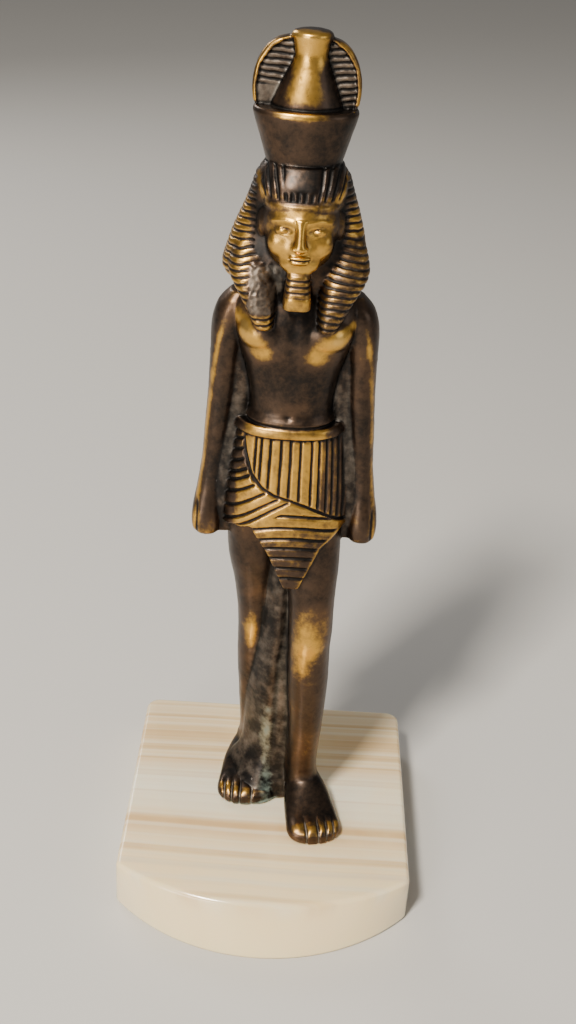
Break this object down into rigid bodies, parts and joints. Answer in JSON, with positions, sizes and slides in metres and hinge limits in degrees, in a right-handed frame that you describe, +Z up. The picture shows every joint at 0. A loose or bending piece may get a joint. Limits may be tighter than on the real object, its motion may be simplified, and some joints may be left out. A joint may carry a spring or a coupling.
{
  "type": "pharaoh figurine",
  "caption": "Cast brass figurine of a striding pharaoh in a striped headcloth, feathered crown and pleated kilt, on a bow-fronted banded onyx plinth.",
  "frame": {"origin": "middle of the plinth's underside", "axes": "+Z up, -Y the way the figure faces, +X to the viewer's right"},
  "size_m": [0.08, 0.092, 0.2263],
  "materials": {
    "patinated_brass": "dark brown patina, rubbed to gold on the raised work",
    "banded_onyx": "polished"
  },
  "bodies": {
    "root": {"figure": "patinated_brass", "plinth": "banded_onyx"}
  },
  "joints": []
}
